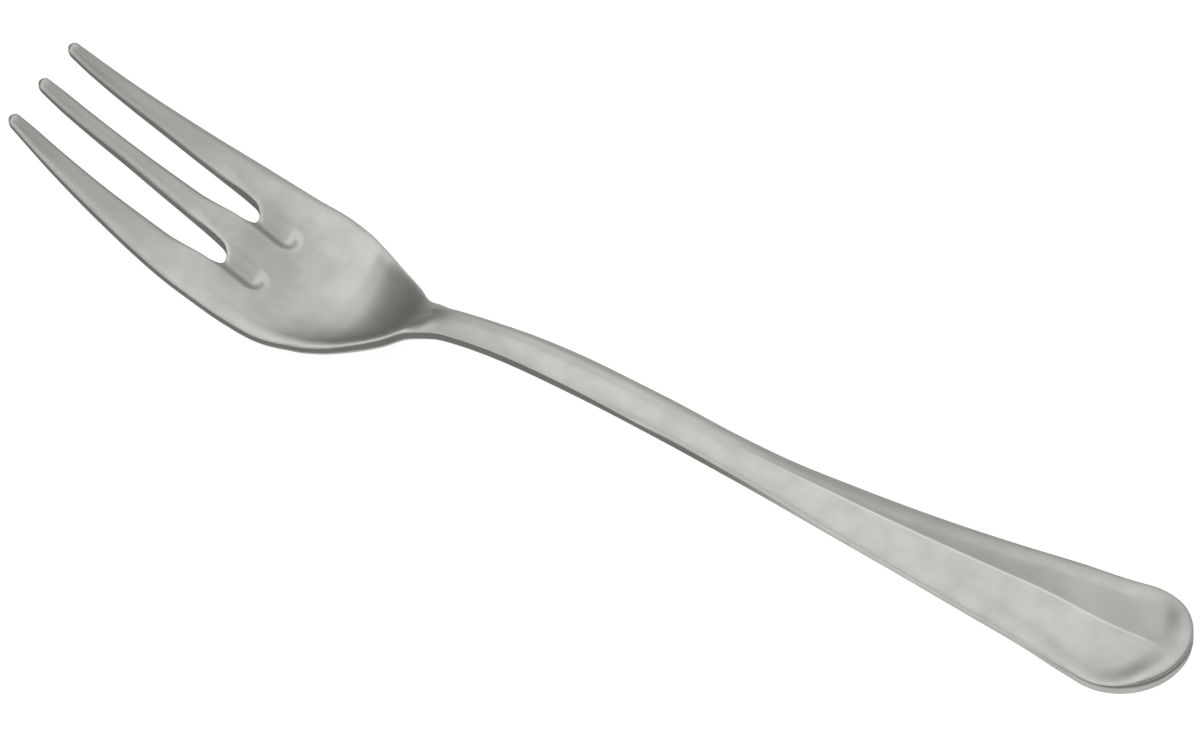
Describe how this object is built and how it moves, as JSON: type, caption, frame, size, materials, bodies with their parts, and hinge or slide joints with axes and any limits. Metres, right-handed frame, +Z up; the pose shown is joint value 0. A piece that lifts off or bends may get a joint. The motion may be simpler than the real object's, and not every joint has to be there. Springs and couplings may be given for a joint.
{
  "type": "pastry fork",
  "caption": "Small table fork for cake and pastry: slotted tapering tines, a dished head, an arched stem and a flared handle with a centre ridge.",
  "frame": {"origin": "middle of the fork's bounding box in plan, on the plane that the heel of the head and the back of the handle rest on", "axes": "+X along the fork from the tine tips to the end of the handle, +Z up out of the dished face, +Y to the right of someone who holds the handle with the tines pointing away"},
  "size_m": [0.15, 0.022, 0.0191],
  "materials": {
    "steel": "satin"
  },
  "bodies": {
    "root": {"tine_left": "steel", "tine_middle": "steel", "tine_right": "steel", "head": "steel", "stem": "steel", "handle": "steel"}
  },
  "joints": []
}
